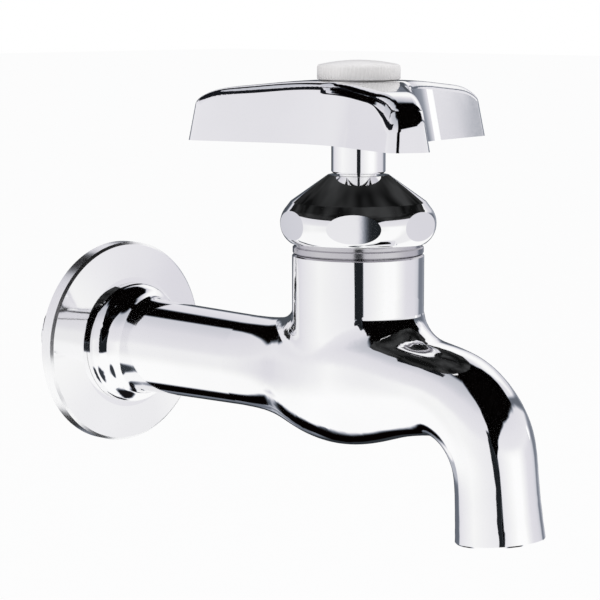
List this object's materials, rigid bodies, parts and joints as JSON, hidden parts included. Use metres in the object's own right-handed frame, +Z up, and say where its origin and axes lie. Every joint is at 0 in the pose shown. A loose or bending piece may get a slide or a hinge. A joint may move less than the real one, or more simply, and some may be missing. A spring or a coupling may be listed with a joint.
{
  "type": "wall-mounted tap",
  "caption": "Chrome wall tap with a three-armed handle, a screw-down valve, a down-turned spout and a round wall flange.",
  "frame": {"origin": "centre of the flange's back face, on the inlet axis, in the plane of the wall", "axes": "+Y along the inlet axis into the wall, so the tap stands out towards -Y; +Z up, along the neck and spindle; +X to the right for someone who looks along +Y at the wall"},
  "size_m": [0.0588, 0.1374, 0.095],
  "materials": {
    "chrome_casting": "polished chrome plate on cast brass",
    "chrome_flange": "polished chrome plate on pressed brass",
    "chrome_nut": "polished chrome plate on turned brass",
    "chrome_handle": "polished chrome plate on die-cast metal",
    "brass": "machined",
    "steel_screw": "bright",
    "black_rubber": "matt",
    "white_cap": "satin, fine ribs round the side"
  },
  "bodies": {
    "tap": {"body": "chrome_casting", "wall_flange": "chrome_flange", "cap_nut": "chrome_nut", "gland_washer": "brass", "gland_packing": "black_rubber"},
    "valve": {"jumper": "brass", "jumper_rubber": "black_rubber", "jumper_washer": "brass", "jumper_nut": "brass"},
    "control": {"spindle": "brass", "handle": "chrome_handle", "handle_screw": "steel_screw", "index_cap": "white_cap"}
  },
  "joints": [
    {"name": "jumper_lift", "type": "slide", "parent": "tap", "child": "valve", "axis": [0, 0, 1], "range_m": [0, 0.005]},
    {"name": "handle_turn", "type": "hinge", "parent": "valve", "child": "control", "pos_m": [0, -0.0744, 0], "axis": [0, 0, 1], "range_deg": [0, 720]}
  ],
  "couplings": [
    {"joint": "jumper_lift", "follows": "handle_turn", "m_per_rad": 0.00039789}
  ]
}
